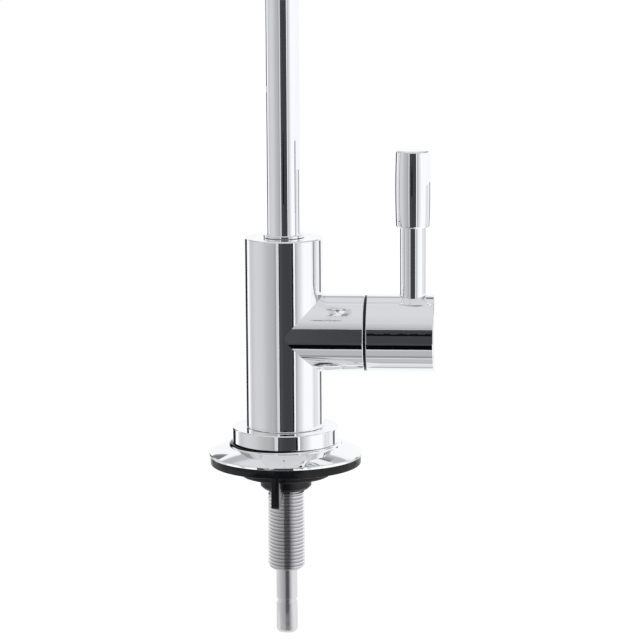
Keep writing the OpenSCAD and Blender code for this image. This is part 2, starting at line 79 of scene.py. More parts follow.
def makeCamera():
    data = bpy.data.cameras.new("camera")
    data.sensor_width = camera["sensor"]
    data.lens = camera["focalPixels"] * camera["sensor"] / camera["imageSide"]
    data.clip_start, data.clip_end = camera["nearest"], camera["farthest"]
    azimuth, pitch, roll = (math.radians(camera[k]) for k in ("azimuth", "pitch", "roll"))
    right = Vector((math.cos(azimuth), math.sin(azimuth), 0))
    level = Vector((-math.sin(azimuth), math.cos(azimuth), 0))
    up = Vector((0, 0, 1))
    forward = level * math.cos(pitch) - up * math.sin(pitch)
    above = level * math.sin(pitch) + up * math.cos(pitch)
    side = right * math.cos(roll) + above * math.sin(roll)
    top = above * math.cos(roll) - right * math.sin(roll)
    turned = Matrix((side, top, -forward)).transposed()
    found = bpy.data.objects.new("camera", data)
    found.matrix_world = Matrix.Translation(camera["place"]) @ turned.to_4x4()
    scene.collection.objects.link(found)
    scene.camera = found


makeCamera()
print("camera made")


# Sizes that several pieces share
gap = 0.05 * mm  # between pieces that fit in or round each other
past = 1 * mm  # how far a cut goes past a face
shankR = 5.256 * mm  # the shank above its thread
threadHoleR = 5.756 * mm  # holes that the thread goes through
footR = 8.0 * mm  # the column's foot, inside the base ring and the flange

# How outlines are rounded and turned
turning = {
    "filletSteps": 7,
    "straight": 1e-4,  # a smaller turn, in radians, needs no fillet
    "onAxis": 1e-7,  # a point nearer to the axis is a pole
    "softTurn": 8,  # a smaller turn, in degrees, is part of a curve
    "shortest": 1e-9,  # a normal's least length, so that none is divided by zero
}


def roundedOutline(corners, closed=True):
    # Rounds corners given as (radius, height, fillet). A point keeps the normal on the side that it is
    # reached from and on the side that it is left from
    count, steps = len(corners), turning["filletSteps"]
    points = []
    for i, (r, z, fillet) in enumerate(corners):
        here = Vector((r, z))
        before = Vector(corners[i - 1][:2]) if closed or i else None
        after = Vector(corners[(i + 1) % count][:2]) if closed or i < count - 1 else None
        into = (here - before).normalized() if before is not None else (after - here).normalized()
        out = (after - here).normalized() if after is not None else into
        sideIn, sideOut = Vector((into.y, -into.x)), Vector((out.y, -out.x))
        turn = math.atan2(into.x * out.y - into.y * out.x, into.dot(out))
        if fillet <= 0 or abs(turn) < turning["straight"]:
            points.append((r, z, sideIn, sideOut))
            continue
        back = abs(math.tan(turn / 2)) * fillet
        centre = here - into * back + Vector((-into.y, into.x)) * math.copysign(fillet, turn)
        for k in range(steps + 1):
            side = Matrix.Rotation(turn * k / steps, 2) @ sideIn
            place = centre + side * math.copysign(fillet, turn)
            points.append((place.x, place.y, side.copy(), side.copy()))
    return points


def softened(outline):
    # Makes one normal of two that differ little, so that a curve of short runs looks round
    made = []
    for r, z, sideIn, sideOut in outline:
        if sideIn.angle(sideOut, 0) < math.radians(turning["softTurn"]):
            side = (sideIn + sideOut).normalized()
            sideIn, sideOut = side, side.copy()
        made.append((r, z, sideIn, sideOut))
    return made


def alongX(x, z):
    # Turns a shape drawn up the Z axis so that it runs along +X, as the tap's branch does
    turn = Matrix(((0, 0, 1), (1, 0, 0), (0, 1, 0))).to_4x4()
    return Matrix.Translation((x, 0, z)) @ turn


def lathe(name, outline, segments, place, closed):
    # Spins the outline. Points on the axis become poles, and true normals are kept per corner
    mesh = bpy.data.meshes.new(name)
    ringStart, verts = [], []
    for r, z, _, _ in outline:
        ringStart.append(len(verts))
        for j in range(1 if r < turning["onAxis"] else segments):
            angle = 2 * math.pi * j / segments
            verts.append((r * math.cos(angle), r * math.sin(angle), z))
    faces, normals = [], []
    for i in range(len(outline) if closed else len(outline) - 1):
        k = (i + 1) % len(outline)
        poleHere, poleNext = (outline[n][0] < turning["onAxis"] for n in (i, k))
        if poleHere and poleNext:
            continue
        sideHere, sideNext = outline[i][3], outline[k][2]
        for j in range(segments):
            a, b = j, (j + 1) % segments
            ring = []
            for point, turn, side, pole in (
                (i, a, sideHere, poleHere), (i, b, sideHere, poleHere),
                (k, b, sideNext, poleNext), (k, a, sideNext, poleNext),
            ):
                index = ringStart[point] + (0 if pole else turn)
                if ring and ring[-1][0] == index:
                    continue
                angle = 2 * math.pi * turn / segments
                ring.append((index, (side.x * math.cos(angle), side.x * math.sin(angle), side.y)))
            if ring[0][0] == ring[-1][0]:
                ring.pop()
            faces.append([v for v, _ in ring])
            normals += [n for _, n in ring]
    mesh.from_pydata(verts, [], faces)
    stored = mesh.attributes.new("trueNormal", "FLOAT_VECTOR", "CORNER")
    matrix = place or Matrix.Identity(4)
    turned = np.array(normals) @ np.array(matrix.to_3x3()).T
    stored.data.foreach_set("vector", turned.astype(np.float32).ravel())
    mesh.transform(matrix)
    piece = bpy.data.objects.new(name, mesh)
    scene.collection.objects.link(piece)
    return piece


def turnPiece(name, corners, segments=192, place=None, closed=True, soft=False):
    # A closed outline goes right round a wall, and an open one starts and ends on the axis
    outline = roundedOutline(corners, closed)
    return lathe(name, softened(outline) if soft else outline, segments, place, closed)


def drill(name, radius, start, end, place=None, segments=96):
    corners = [(0, start, 0), (radius, start, 0), (radius, end, 0), (0, end, 0)]
    return turnPiece(name, corners, segments, place, closed=False)


def joinCut(piece, others, operation):
    # Adds or cuts other closed meshes, and keeps the stored normals
    for other in others:
        step = piece.modifiers.new("cut", "BOOLEAN")
        step.operation, step.solver, step.object = operation, "EXACT", other
        evaluated = piece.evaluated_get(bpy.context.evaluated_depsgraph_get())
        mesh = bpy.data.meshes.new_from_object(evaluated)
        piece.modifiers.clear()
        piece.data = mesh
        bpy.data.objects.remove(other)


def keepShape(shape, piece):
    # Makes a bmesh the piece's mesh
    mesh = bpy.data.meshes.new(piece.name)
    shape.to_mesh(mesh)
    shape.free()
    piece.data = mesh


def trueNormals(piece):
    # Shades each corner with the normal of the surface that it was turned from
    mesh = piece.data
    stored = mesh.attributes["trueNormal"]
    vectors = np.zeros(len(stored.data) * 3, np.float32)
    stored.data.foreach_get("vector", vectors)
    vectors = vectors.reshape(-1, 3)
    totals = np.zeros(len(mesh.polygons), np.int32)
    flat = np.zeros(len(mesh.polygons) * 3, np.float32)
    mesh.polygons.foreach_get("loop_total", totals)
    mesh.polygons.foreach_get("normal", flat)
    perCorner = np.repeat(flat.reshape(-1, 3), totals, axis=0)
    sign = np.sign(np.einsum("ij,ij->i", vectors, perCorner))
    vectors *= np.where(sign == 0, 1, sign)[:, None]
    vectors /= np.maximum(np.linalg.norm(vectors, axis=1), turning["shortest"])[:, None]
    mesh.attributes.remove(stored)
    mesh.polygons.foreach_set("use_smooth", np.ones(len(mesh.polygons), bool))
    mesh.normals_split_custom_set([tuple(v) for v in vectors])
    mesh.update()
    return piece


def smoothByAngle(piece, degrees):
    # For joined and grown pieces. Drops stored normals, and keeps edges hard that turn by more than degrees
    mesh = piece.data
    if "trueNormal" in mesh.attributes:
        mesh.attributes.remove(mesh.attributes["trueNormal"])
    mesh.polygons.foreach_set("use_smooth", np.ones(len(mesh.polygons), bool))
    mesh.set_sharp_from_angle(angle=math.radians(degrees))
    return piece


def finishPiece(piece, finish, body, node):
    mesh = piece.data
    mesh.materials.clear()
    mesh.materials.append(materials[finish])
    mesh.polygons.foreach_set("material_index", np.zeros(len(mesh.polygons), np.int32))
    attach(piece, body)
    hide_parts(node)


# Helpers for node trees
def addNode(tree, kind, links=(), **settings):
    # links pairs an input's name or number with an output socket or a plain value
    node = tree.nodes.new(kind)
    for key, value in settings.items():
        setattr(node, key, value)
    for key, value in links:
        if isinstance(value, bpy.types.NodeSocket):
            tree.links.new(value, node.inputs[key])
        else:
            node.inputs[key].default_value = value
    return node


def calc(tree, operation, *values):
    return addNode(tree, "ShaderNodeMath", list(enumerate(values)), operation=operation).outputs[0]


def remap(tree, value, fromMin, fromMax, toMin=0.0, toMax=1.0):
    ends = [("From Min", fromMin), ("From Max", fromMax), ("To Min", toMin), ("To Max", toMax)]
    return addNode(tree, "ShaderNodeMapRange", [("Value", value)] + ends).outputs["Result"]


def noise(tree, place, scale, detail):
    return addNode(tree, "ShaderNodeTexNoise", [
        ("Vector", place), ("Scale", scale), ("Detail", detail)]).outputs["Fac"]


def mixColours(tree, share, first, second):
    # A colour is an output socket, or red, green and blue
    ends = [end if isinstance(end, bpy.types.NodeSocket) else (*end, 1) for end in (first, second)]
    return addNode(tree, "ShaderNodeMix", [
        (0, share), (6, ends[0]), (7, ends[1])], data_type="RGBA").outputs[2]


def objectPlace(tree):
    return addNode(tree, "ShaderNodeTexCoord").outputs["Object"]


def addSockets(tree, side, named):
    # A socket's kind follows from its first value, where None stands for a material
    kinds = {float: "NodeSocketFloat", int: "NodeSocketInt", type(None): "NodeSocketMaterial"}
    for label, value in named:
        socket = tree.interface.new_socket(label, in_out=side, socket_type=kinds[type(value)])
        if value is not None:
            socket.default_value = value


# Node groups that several finishes share
def newGroup(name, inputs, outputs):
    group = bpy.data.node_groups.new(name, "ShaderNodeTree")
    addSockets(group, "INPUT", inputs)
    addSockets(group, "OUTPUT", [(label, 0.0) for label in outputs])
    return group, group.nodes.new("NodeGroupInput").outputs, group.nodes.new("NodeGroupOutput")


def giveOut(group, made, **results):
    for label, socket in results.items():
        group.links.new(socket, made.inputs[label])


handlingMarks = {
    "cloudDetail": 3.0, "cloudEnds": (0.35, 0.7), "stretch": (1.0, 1.0, 0.06), "lineScale": 2600.0,
    "lineDetail": 2.0, "lineEnds": (0.62, 0.75),
}
turningMarks = {"wanderScale": 300.0, "wanderDetail": 1.0, "ringDetail": 2.0, "toneEnds": (0.3, 0.7)}
mouldGrain = {
    "pitDetail": 3.0, "patchScale": 130.0, "patchDetail": 2.0, "roughEnds": (0.35, 0.65),
    "dustEnds": (0.5, 0.8),
}


def makeHandlingGroup():
    # Cloudy polish and fine wiping scratches, for plated and turned metal
    group, given, made = newGroup(
        "handlingMarks", [("Cloud Size", 40.0), ("Low", 0.03), ("High", 0.08), ("Scratches", 0.02)],
        ["Roughness", "Height"])
    place = objectPlace(group)
    cloud = noise(group, place, given["Cloud Size"], handlingMarks["cloudDetail"])
    rough = remap(group, cloud, *handlingMarks["cloudEnds"], given["Low"], given["High"])
    stretched = addNode(group, "ShaderNodeMapping", [("Vector", place), ("Scale", handlingMarks["stretch"])])
    lines = noise(group, stretched.outputs["Vector"], handlingMarks["lineScale"], handlingMarks["lineDetail"])
    scratches = remap(group, lines, *handlingMarks["lineEnds"])
    marked = calc(group, "MULTIPLY_ADD", scratches, given["Scratches"], rough)
    giveOut(group, made, Roughness=marked, Height=cloud)
    return group


def makeTurningGroup():
    # Fine rings left by the lathe, at right angles to the Z axis
    group, given, made = newGroup(
        "turningMarks", [("Spacing", 0.12 * mm), ("Wander", 0.4)], ["Height", "Tone"])
    place = objectPlace(group)
    apart = addNode(group, "ShaderNodeSeparateXYZ", [("Vector", place)]).outputs
    steps = calc(group, "DIVIDE", apart["Z"], given["Spacing"])
    wander = noise(group, place, turningMarks["wanderScale"], turningMarks["wanderDetail"])
    moved = calc(group, "MULTIPLY_ADD", wander, given["Wander"], steps)
    rings = addNode(group, "ShaderNodeTexNoise", [
        ("W", moved), ("Scale", 1.0), ("Detail", turningMarks["ringDetail"])], noise_dimensions="1D")
    height = rings.outputs["Fac"]
    giveOut(group, made, Height=height, Tone=remap(group, height, *turningMarks["toneEnds"]))
    return group


def makeGrainGroup():
    # Fine pits of moulded plastic and rubber, with a little dust
    group, given, made = newGroup(
        "mouldGrain", [("Grain Size", 1500.0), ("Low", 0.3), ("High", 0.5)], ["Roughness", "Height", "Dust"])
    place = objectPlace(group)
    pits = noise(group, place, given["Grain Size"], mouldGrain["pitDetail"])
    patch = noise(group, place, mouldGrain["patchScale"], mouldGrain["patchDetail"])
    rough = remap(group, patch, *mouldGrain["roughEnds"], given["Low"], given["High"])
    giveOut(group, made, Roughness=rough, Height=pits, Dust=remap(group, patch, *mouldGrain["dustEnds"]))
    return group


def makeJointShadeGroup():
    # Painted shade: a dark line that stands in for the shadow and dark reflection in the joint between two
    # pieces at one height, wider at its left end than at its right
    group, given, made = newGroup(
        "paintedJointShade", [("Height", 0.0), ("Left X", -0.01), ("Right X", 0.01), ("Left Reach", 0.4 * mm),
                      ("Right Reach", 0.1 * mm)], ["Mask"])
    blur = 0.06 * mm
    apart = addNode(group, "ShaderNodeSeparateXYZ", [("Vector", objectPlace(group))]).outputs
    reach = remap(group, apart["X"], given["Left X"], given["Right X"], given["Left Reach"],
                  given["Right Reach"])
    away = calc(group, "ABSOLUTE", calc(group, "SUBTRACT", apart["Z"], given["Height"]))
    giveOut(group, made, Mask=remap(group, calc(group, "SUBTRACT", away, reach), -blur, blur, 1.0, 0.0))
    return group


def makeGrooveGroup():
    # Painted shade deep in the grooves that run round the Z axis, darker towards their roots
    group, given, made = newGroup(
        "grooveShade", [("Outer Radius", 0.005), ("Start Depth", 0.1 * mm), ("Full Depth", 0.5 * mm)],
        ["Mask"])
    level = addNode(group, "ShaderNodeVectorMath", [
        (0, objectPlace(group)), (1, (1.0, 1.0, 0.0))], operation="MULTIPLY")
    radius = addNode(group, "ShaderNodeVectorMath", [(0, level.outputs["Vector"])], operation="LENGTH")
    depth = calc(group, "SUBTRACT", given["Outer Radius"], radius.outputs["Value"])
    giveOut(group, made, Mask=remap(group, depth, given["Start Depth"], given["Full Depth"]))
    return group


handlingGroup, turningGroup, grainGroup = makeHandlingGroup(), makeTurningGroup(), makeGrainGroup()
jointShadeGroup, grooveGroup = makeJointShadeGroup(), makeGrooveGroup()


def newMaterial(name, metallic, **plain):
    # plain holds the shader's uniform values, with _ for a space
    material = bpy.data.materials.new(name)
    material.use_nodes = True
    shader = material.node_tree.nodes["Principled BSDF"]
    shader.inputs["Metallic"].default_value = metallic
    for key, value in plain.items():
        shader.inputs[key.replace("_", " ")].default_value = value
    return material, material.node_tree, shader


def placeGroup(tree, group, **values):
    node = addNode(tree, "ShaderNodeGroup", node_tree=group)
    for key, value in values.items():
        node.inputs[key.replace("_", " ")].default_value = value
    return node.outputs


def feedShader(tree, shader, colour, roughness, height, strength, depth):
    bump = addNode(tree, "ShaderNodeBump", [("Height", height), ("Strength", strength), ("Distance", depth)])
    for key, socket in (("Base Color", colour), ("Roughness", roughness), ("Normal", bump.outputs["Normal"])):
        tree.links.new(socket, shader.inputs[key])


# rough holds the lowest and the highest roughness
# The near-black joint colour is painted shade, laid along the joint between the base ring and the flange
chromeFinish = {
    "dark": (0.9, 0.91, 0.925), "light": (0.945, 0.95, 0.96), "jointShade": (0.008, 0.008, 0.009),
    "cloudSize": 70.0, "rough": (0.012, 0.035), "scratches": 0.03, "wave": 0.12, "waveDepth": 0.4 * mm,
}
turnedFinish = {"cloudSize": 160.0, "scratches": 0.1, "wander": 0.6, "bump": 0.5, "groove": (0.6, 0.6, 0.61)}
mouldedFinish = {"bump": 0.4}


def makeChrome(name, **jointShade):
    # The keyword values set the painted shade at the joint, a near-black line standing in for its shadow and
    # dark reflection, on pieces that have one
    material, tree, shader = newMaterial(name, 1.0)
    low, high = chromeFinish["rough"]
    marks = placeGroup(tree, handlingGroup, Cloud_Size=chromeFinish["cloudSize"], Low=low, High=high,
                       Scratches=chromeFinish["scratches"])
    colour = mixColours(tree, marks["Height"], chromeFinish["dark"], chromeFinish["light"])
    if jointShade:
        # Painted shade: near-black along the joint, in place of its shadow and dark reflection
        shadeMask = placeGroup(tree, jointShadeGroup, **jointShade)["Mask"]
        colour = mixColours(tree, shadeMask, colour, chromeFinish["jointShade"])
    feedShader(tree, shader, colour, marks["Roughness"], marks["Height"], chromeFinish["wave"],
               chromeFinish["waveDepth"])
    return material


def makeTurnedMetal(name, dark, light, rough, spacing, depth, **groove):
    # The keyword values set the painted shade in a thread, on pieces that have one
    material, tree, shader = newMaterial(name, 1.0)
    marks = placeGroup(tree, handlingGroup, Cloud_Size=turnedFinish["cloudSize"], Low=rough[0],
                       High=rough[1], Scratches=turnedFinish["scratches"])
    rings = placeGroup(tree, turningGroup, Spacing=spacing, Wander=turnedFinish["wander"])
    colour = mixColours(tree, rings["Tone"], dark, light)
    if groove:
        # Painted shade: the thread's grooves darken towards their roots
        shadeMask = placeGroup(tree, grooveGroup, **groove)["Mask"]
        colour = mixColours(tree, shadeMask, colour, turnedFinish["groove"])
    feedShader(tree, shader, colour, marks["Roughness"], rings["Height"], turnedFinish["bump"], depth)
    return material


def makeMoulded(name, dark, light, rough, grainSize, depth, **plain):
    material, tree, shader = newMaterial(name, 0.0, **plain)
    grain = placeGroup(tree, grainGroup, Grain_Size=grainSize, Low=rough[0], High=rough[1])
    colour = mixColours(tree, grain["Dust"], dark, light)
    feedShader(tree, shader, colour, grain["Roughness"], grain["Height"], mouldedFinish["bump"], depth)
    return material


materials = {
    "chrome": makeChrome("chrome"),
    # The base ring and the flange carry painted shade: a dark line where they meet, wider at the left
    "chromeWithPaintedShade": makeChrome(
        "chromeWithPaintedShade", Height=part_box("base_ring")[0].z, Left_X=-17 * mm, Right_X=14 * mm,
        Left_Reach=0.55 * mm, Right_Reach=-0.15 * mm),
    "nickel": makeTurnedMetal(
        "satinNickel", (0.88, 0.88, 0.89), (0.97, 0.97, 0.975), rough=(0.1, 0.18), spacing=0.11 * mm,
        depth=0.015 * mm, Outer_Radius=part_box("shank")[1].x, Start_Depth=0.2 * mm, Full_Depth=0.55 * mm),
    "stemMetal": makeTurnedMetal(
        "turnedStem", (0.8, 0.8, 0.81), (0.86, 0.86, 0.87), rough=(0.08, 0.15), spacing=0.1 * mm,
        depth=0.006 * mm),
    "dark_metal": makeTurnedMetal(
        "darkPlate", (0.03, 0.03, 0.033), (0.055, 0.055, 0.06), rough=(0.3, 0.45), spacing=0.14 * mm,
        depth=0.03 * mm),
    "brass": makeTurnedMetal(
        "turnedBrass", (0.66, 0.5, 0.25), (0.78, 0.61, 0.33), rough=(0.22, 0.36), spacing=0.15 * mm,
        depth=0.03 * mm),
    "clip_steel": makeTurnedMetal(
        "springSteel", (0.42, 0.42, 0.44), (0.55, 0.55, 0.57), rough=(0.25, 0.4), spacing=0.2 * mm,
        depth=0.02 * mm),
    "black_plastic": makeMoulded(
        "blackPlastic", (0.004, 0.004, 0.005), (0.01, 0.01, 0.011), rough=(0.12, 0.22), grainSize=1800.0,
        depth=0.01 * mm, Specular_IOR_Level=0.22),
    "rubber": makeMoulded(
        "blackRubber", (0.008, 0.008, 0.009), (0.016, 0.016, 0.017), rough=(0.45, 0.65), grainSize=2400.0,
        depth=0.03 * mm, Specular_IOR_Level=0.3),
    "ceramic": makeMoulded(
        "lappedCeramic", (0.84, 0.82, 0.77), (0.9, 0.88, 0.84), rough=(0.12, 0.2), grainSize=3000.0,
        depth=0.004 * mm),
    "white_plastic": makeMoulded(
        "whiteAcetal", (0.78, 0.78, 0.75), (0.86, 0.86, 0.83), rough=(0.35, 0.5), grainSize=1500.0,
        depth=0.01 * mm),
}
print("finishes made")


# The column and its branch are one casting, with the bores that hold the valve and the spout
column = {
    "edge": 0.45 * mm, "footEdge": 0.4 * mm, "branchEdge": 0.3 * mm, "branchLess": 0.05 * mm,
    "inletR": 2.3 * mm, "passageR": 1.7 * mm, "passageAbove": 0.8 * mm, "passageIn": 0.1 * mm,
    "underBush": 0.2 * mm, "clipGap": 0.25 * mm, "segments": 256,
}


def makeBody():
    low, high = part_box("body_shell")
    ringTop, top, branchEnd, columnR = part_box("base_ring")[1].z, high.z, high.x, high.y
    valveLow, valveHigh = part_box("cartridge_body")
    axisZ = (valveLow.z + valveHigh.z) / 2
    branchR = columnR - column["branchLess"]
    piece = turnPiece("tapColumn", [
        (0, low.z, 0), (footR, low.z, 0), (footR, ringTop, 0), (columnR, ringTop, column["footEdge"]),
        (columnR, top, column["edge"]), (0, top, 0)], column["segments"], closed=False)
    branch = turnPiece("branch", [
        (0, 0, 0), (branchR, 0, 0), (branchR, branchEnd, column["branchEdge"]), (0, branchEnd, 0)],
        column["segments"], alongX(0, axisZ), closed=False)
    joinCut(piece, [branch], "UNION")
    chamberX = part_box("cartridge_seal")[0].x
    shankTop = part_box("shank")[1].z + gap
    bushLow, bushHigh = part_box("spout_bush")
    bushR, socketZ = bushHigh.x + gap, bushLow.z - column["underBush"]
    clipLow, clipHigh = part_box("spout_clip")
    inletR, passageR, clipGap = column["inletR"], column["passageR"], column["clipGap"]
    joinCut(piece, [
        drill("chamber", valveHigh.y + gap, 0, branchEnd, alongX(chamberX, axisZ)),
        drill("shankSocket", shankR + gap, low.z - past, shankTop),
        drill("inlet", inletR, shankTop - past, axisZ),
        drill("crossInlet", inletR, 0, chamberX + past, alongX(0, axisZ)),
        drill("passage", passageR, axisZ + inletR + column["passageAbove"], socketZ + past,
              Matrix.Translation((bushR - passageR - column["passageIn"], 0, 0))),
        drill("bushSocket", bushR, socketZ, top + past),
        drill("clipGroove", clipHigh.x + clipGap, clipLow.z - clipGap, clipHigh.z + clipGap),
    ], "DIFFERENCE")
    finishPiece(trueNormals(piece), "chrome", "tap_body", "body_shell")


makeBody()
print("column made")


# The flange is sheet metal with a boss. Its dome falls from the boss to the rim in one curve
flange = {
    "bossR": 16.5 * mm, "bossRound": 0.8 * mm, "bossFoot": 0.35 * mm, "metal": 0.8 * mm,
    "rimRound": 0.3 * mm, "rimFoot": 0.1 * mm, "domeRound": 0.02 * mm, "domeSteps": 24, "footCurve": 0.75,
    "segments": 256,
}


def makeFlange():
    low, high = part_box("flange_plate")
    rimR, rimLow, top = high.x, low.z, high.z
    t, bossR, hole = flange["metal"], flange["bossR"], footR + gap
    rimTop = rimLow + t
    bossFoot = top - flange["bossRound"]

    def dome(share):
        curve = flange["footCurve"]
        return (bossR + (rimR - bossR) * share,
                bossFoot + (rimTop - bossFoot) * (curve * share + (1 - curve) * share * share))

    steps = flange["domeSteps"]
    upper = [dome(i / steps) for i in range(steps, 0, -1)]
    under = [(r - t, z - t) for r, z in (dome(i / steps) for i in range(1, steps))]
    corners = [(hole, top - t, 0), (bossR - t, top - t, 0)]
    corners += [(r, z, 0) for r, z in under]
    corners += [(rimR - t, rimLow, 0), (rimR, rimLow, flange["rimFoot"])]
    corners += [(rimR, upper[0][1], flange["rimRound"])]
    corners += [(r, z, flange["domeRound"]) for r, z in upper[1:]]
    corners += [(bossR, bossFoot, flange["bossFoot"]), (bossR, top, flange["bossRound"]), (hole, top, 0)]
    piece = turnPiece("flangePlate", corners, flange["segments"], soft=True)
    finishPiece(trueNormals(piece), "chromeWithPaintedShade", "tap_body", "flange_plate")


makeFlange()

baseRing = {"edge": 0.4 * mm, "segments": 256}


def makeBaseRing():
    low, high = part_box("base_ring")
    hole, edge = footR + gap, baseRing["edge"]
    piece = turnPiece("baseRing", [
        (hole, low.z, 0), (high.x, low.z, edge), (high.x, high.z, edge), (hole, high.z, 0)],
        baseRing["segments"])
    finishPiece(trueNormals(piece), "chromeWithPaintedShade", "tap_body", "base_ring")


makeBaseRing()
print("flange and base ring made")


# The cap at the end of the branch, with the seat for the lever's rod
cap = {
    "innerEdge": 0.25 * mm, "outerEdge": 0.5 * mm, "cupR": 7.0 * mm, "bushDeeper": 0.1 * mm,
    "pilotR": 2.61 * mm, "pilotDeeper": 0.2 * mm, "rodSeat": 1.2 * mm, "studHole": 2.45 * mm,
    "segments": 256, "seatSegments": 128,
}


def rodPlace():
    # The lever's own axis, and the height of the seat that its rod stands in
    capLow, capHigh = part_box("handle_cap")
    rodLow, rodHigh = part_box("lever_rod")
    axisZ = (capLow.z + capHigh.z) / 2
    seatZ = axisZ + math.sqrt(capHigh.y ** 2 - rodHigh.y ** 2) - cap["rodSeat"]
    return Matrix.Translation(((rodLow.x + rodHigh.x) / 2, 0, 0)), seatZ


def makeCap():
    low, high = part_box("handle_cap")
    axisZ, capR, length = (low.z + high.z) / 2, high.y, high.x - low.x
    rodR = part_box("lever_rod")[1].y
    leverAxis, seatZ = rodPlace()
    bushLow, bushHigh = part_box("spline_bush")
    cupX, pilotX, above = bushLow.x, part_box("spindle")[1].x, axisZ + 2 * capR
    piece = turnPiece("handleCap", [
        (0, 0, 0), (capR, 0, cap["innerEdge"]), (capR, length, cap["outerEdge"]), (0, length, 0)],
        cap["segments"], alongX(low.x, axisZ), closed=False)
    joinCut(piece, [
        drill("cup", cap["cupR"], -past, cupX - low.x, alongX(low.x, axisZ)),
        drill("bushHole", bushHigh.y + gap, -past, bushHigh.x + cap["bushDeeper"] - cupX,
              alongX(cupX, axisZ)),
        drill("pilotHole", cap["pilotR"], 0, pilotX + cap["pilotDeeper"] - cupX, alongX(cupX, axisZ)),
        drill("rodSeat", rodR + gap, seatZ, above, leverAxis, cap["seatSegments"]),
        drill("studHole", cap["studHole"], axisZ, above, leverAxis),
    ], "DIFFERENCE")
    finishPiece(trueNormals(piece), "chrome", "handle", "handle_cap")


makeCap()

lever = {
    "studR": 2.4 * mm, "studFoot": 0.2 * mm, "studTop": 0.3 * mm, "rodEdge": 0.15 * mm, "rodSegments": 128,
    "gripStud": 13.3 * mm, "holeDeeper": 0.5 * mm, "gripRound": 0.6 * mm, "gripSteps": 32, "endR": 5.0 * mm,
}


def makeLever():
    rodLow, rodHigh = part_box("lever_rod")
    gripLow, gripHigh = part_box("lever_grip")
    place, seatZ = rodPlace()
    rodR, studR = rodHigh.y, lever["studR"]
    rod = turnPiece("leverRod", [
        (0, rodLow.z, 0), (studR, rodLow.z, lever["studFoot"]), (studR, seatZ, 0), (rodR, seatZ, 0),
        (rodR, gripLow.z, lever["rodEdge"]), (studR, gripLow.z, 0), (studR, rodHigh.z, lever["studTop"]),
        (0, rodHigh.z, 0)], lever["rodSegments"], place, closed=False)
    finishPiece(trueNormals(rod), "chrome", "handle", "lever_rod")

    endR, steps = lever["endR"], lever["gripSteps"]
    swell, length = (gripHigh.x - gripLow.x) / 2 - endR, gripHigh.z - gripLow.z
    hole, holeTop = cap["studHole"], gripLow.z + lever["gripStud"] + lever["holeDeeper"]
    corners = [(0, holeTop, 0), (hole, holeTop, 0), (hole, gripLow.z, 0)]
    for i in range(steps + 1):
        if i in (1, steps - 1):
            continue  # leaves room for the end's fillet
        share = i / steps
        radius = endR + swell * (1 - (2 * share - 1) ** 2)
        corners.append((radius, gripLow.z + length * share, lever["gripRound"] if i in (0, steps) else 0))
    corners.append((0, gripHigh.z, 0))
    grip = turnPiece("leverGrip", corners, place=place, closed=False, soft=True)
    finishPiece(trueNormals(grip), "chrome", "handle", "lever_grip")


makeLever()
print("cap and lever made")


# Helpers for what Geometry Nodes make
def newGeometryTree(name, inputs):
    tree = bpy.data.node_groups.new(name, "GeometryNodeTree")
    tree.interface.new_socket("Geometry", in_out="INPUT", socket_type="NodeSocketGeometry")
    addSockets(tree, "INPUT", inputs)
    tree.interface.new_socket("Geometry", in_out="OUTPUT", socket_type="NodeSocketGeometry")
    return tree, tree.nodes.new("NodeGroupInput").outputs


def endTree(tree, geometry, material):
    real = addNode(tree, "GeometryNodeRealizeInstances", [("Geometry", geometry)])
    painted = addNode(tree, "GeometryNodeSetMaterial", [
        ("Geometry", real.outputs["Geometry"]), ("Material", material)])
    addNode(tree, "NodeGroupOutput", [("Geometry", painted.outputs["Geometry"])])
    return tree


def socketOf(tree, name):
    # A modifier's input is set by its identifier, and not by its name
    return next(s.identifier for s in tree.interface.items_tree
                if s.item_type == "SOCKET" and s.in_out == "INPUT" and s.name == name)


def growMesh(name, tree, values):
    # Runs a tree on an empty object and keeps its result as a plain mesh
    carrier = bpy.data.objects.new(name, bpy.data.meshes.new(name + "Seed"))
    scene.collection.objects.link(carrier)
    step = carrier.modifiers.new("grow", "NODES")
    step.node_group = tree
    for key, value in values.items():
        step[socketOf(tree, key)] = value
    evaluated = carrier.evaluated_get(bpy.context.evaluated_depsgraph_get())
    mesh = bpy.data.meshes.new_from_object(evaluated)
    carrier.modifiers.clear()
    carrier.data = mesh
    return carrier


# The gooseneck: two skins follow one route, and their ends are closed. Then its ring and its tip
spout = {
    "wall": 0.85 * mm, "footDepth": 7.0 * mm, "steps": 420, "sides": 96, "smooth": 40,
    "ringFoot": 0.1 * mm, "ringTop": 0.3 * mm, "tipGrip": 9.0 * mm, "tipLess": 0.01 * mm, "lip": 0.2 * mm,
    "tipFoot": 0.4 * mm, "tipTop": 0.8 * mm, "tipMouth": 0.1 * mm,
}


